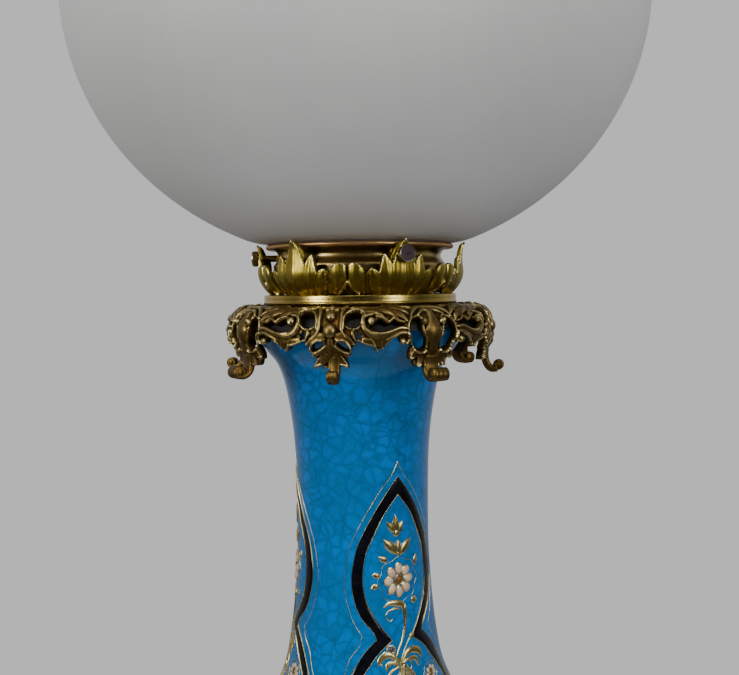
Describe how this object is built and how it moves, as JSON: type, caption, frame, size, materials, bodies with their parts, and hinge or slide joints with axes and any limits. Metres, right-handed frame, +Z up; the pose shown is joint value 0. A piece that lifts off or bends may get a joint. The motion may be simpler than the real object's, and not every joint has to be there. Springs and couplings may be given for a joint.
{
  "type": "oil lamp",
  "caption": "Table oil lamp: bottle vase in pierced bronze mounts, drop-in font with round-wick burner, glass chimney and frosted globe on a leaf cup.",
  "frame": {"origin": "centre of the resting plane under the four feet, on the lamp's axis", "axes": "+Z up along the lamp's axis, -Y towards the front that is seen first"},
  "size_m": [0.25, 0.25, 0.69],
  "materials": {
    "antique_gilt_base": "antique gilt bronze",
    "gilt_base_ring": "turned gilt bronze",
    "cork_seat": "pressed cork",
    "steel_rod": "threaded",
    "brass_nuts": "plain",
    "brass_washers": "plain",
    "turquoise_glaze": "crackled glaze with raised enamel",
    "brass_bush": "dull",
    "gilt_collar": "polished gilt",
    "brass_screws": "plain",
    "antique_gilt_skirt": "antique gilt bronze",
    "font_brass": "lacquered",
    "collar_brass": "turned",
    "burner_brass": "turned",
    "basket_brass": "perforated",
    "wick_tube_brass": "drawn",
    "draught_tube_brass": "drawn",
    "spreader_brass": "perforated",
    "gallery_brass": "sprung fingers",
    "cotton_wick": "woven cotton",
    "shaft_steel": "drawn",
    "pinion_brass": "cut teeth",
    "knob_brass": "milled edge",
    "bright_gilt_leaves": "bright gilt",
    "dark_brass_holder": "dark patina",
    "frosted_glass": "acid-frosted",
    "clear_glass": "clear",
    "felt_front_right": "felt",
    "felt_back_right": "felt",
    "felt_back_left": "felt",
    "felt_front_left": "felt",
    "thumbscrew_front": "dark face, pale rim",
    "thumbscrew_back": "dark face, pale rim",
    "thumbscrew_left": "dark face, pale rim"
  },
  "bodies": {
    "lamp_stand": {"base_casting": "antique_gilt_base", "base_ring": "gilt_base_ring", "vase_seat_washer": "cork_seat", "tie_rod": "steel_rod", "tie_nuts": "brass_nuts", "tie_washers": "brass_washers", "foot_pad_front_right": "felt_front_right", "foot_pad_back_right": "felt_back_right", "foot_pad_back_left": "felt_back_left", "foot_pad_front_left": "felt_front_left", "vase_body": "turquoise_glaze", "mouth_bush": "brass_bush", "collar_ring": "gilt_collar", "mount_screws": "brass_screws", "pierced_skirt": "antique_gilt_skirt"},
    "font_and_burner": {"oil_font": "font_brass", "font_collar": "collar_brass", "burner_base": "burner_brass", "air_basket": "basket_brass", "wick_tube": "wick_tube_brass", "draught_tube": "draught_tube_brass", "flame_spreader": "spreader_brass", "chimney_gallery": "gallery_brass"},
    "wick": {"wick": "cotton_wick"},
    "wick_winder": {"wick_shaft": "shaft_steel", "wick_pinions": "pinion_brass", "wick_knob": "knob_brass"},
    "globe_gallery": {"leaf_cup": "bright_gilt_leaves", "globe_holder": "dark_brass_holder"},
    "thumbscrew_front": {"thumbscrew_front": "thumbscrew_front"},
    "thumbscrew_back": {"thumbscrew_back": "thumbscrew_back"},
    "thumbscrew_left": {"thumbscrew_left": "thumbscrew_left"},
    "globe": {"globe": "frosted_glass"},
    "chimney": {"chimney": "clear_glass"}
  },
  "joints": [
    {"name": "font_lift", "type": "slide", "parent": "lamp_stand", "child": "font_and_burner", "axis": [0, 0, 1], "range_m": [0, 0.18]},
    {"name": "wick_turn", "type": "hinge", "parent": "font_and_burner", "child": "wick_winder", "pos_m": [-0.01324, 0.00704, 0.406], "axis": [-0.4695, -0.8829, 0], "range_deg": [-230, 96]},
    {"name": "wick_raise", "type": "slide", "parent": "font_and_burner", "child": "wick", "axis": [0, 0, 1], "range_m": [-0.012, 0.005]},
    {"name": "gallery_lift", "type": "slide", "parent": "font_and_burner", "child": "globe_gallery", "axis": [0, 0, 1], "range_m": [0, 0.06]},
    {"name": "globe_lift", "type": "slide", "parent": "globe_gallery", "child": "globe", "axis": [0, 0, 1], "range_m": [0, 0.3]},
    {"name": "chimney_lift", "type": "slide", "parent": "font_and_burner", "child": "chimney", "axis": [0, 0, 1], "range_m": [0, 0.25]},
    {"name": "thumbscrew_front_out", "type": "slide", "parent": "globe_gallery", "child": "thumbscrew_front", "axis": [0.4067, -0.9135, 0], "range_m": [0, 0.004]},
    {"name": "thumbscrew_back_out", "type": "slide", "parent": "globe_gallery", "child": "thumbscrew_back", "axis": [0.5878, 0.809, 0], "range_m": [0, 0.004]},
    {"name": "thumbscrew_left_out", "type": "slide", "parent": "globe_gallery", "child": "thumbscrew_left", "axis": [-0.9945, 0.1045, 0], "range_m": [0, 0.004]}
  ],
  "couplings": [
    {"joint": "wick_turn", "follows": "wick_raise", "rad_per_m": 333.33}
  ]
}
